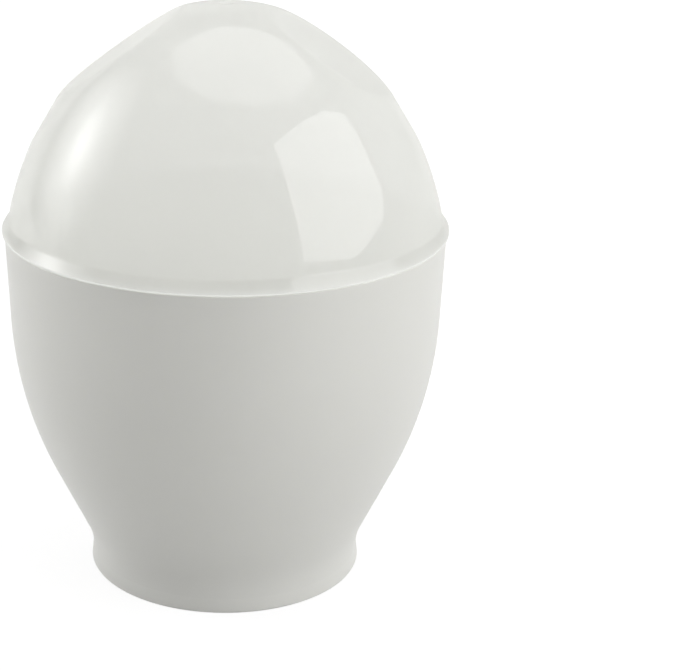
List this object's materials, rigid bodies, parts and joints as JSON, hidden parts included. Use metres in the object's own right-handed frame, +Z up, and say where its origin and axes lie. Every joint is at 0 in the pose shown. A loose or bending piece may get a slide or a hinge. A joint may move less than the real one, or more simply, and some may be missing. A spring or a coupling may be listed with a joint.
{
  "type": "microwave egg cooker",
  "caption": "Egg-shaped microwave egg cooker: a footed white cup and a translucent dome lid with two finger flats.",
  "frame": {"origin": "centre of the foot's underside, on the surface that the cooker stands on", "axes": "+Z up along the axis of the cup and the lid; the lid's two finger flats face +X and -X; -Y is the front"},
  "size_m": [0.0724, 0.0724, 0.095],
  "materials": {
    "cup_plastic": "fine satin white polypropylene",
    "lid_plastic": "glossy milky translucent polypropylene"
  },
  "bodies": {
    "root": {"cup": "cup_plastic", "lid": "lid_plastic"}
  },
  "joints": []
}
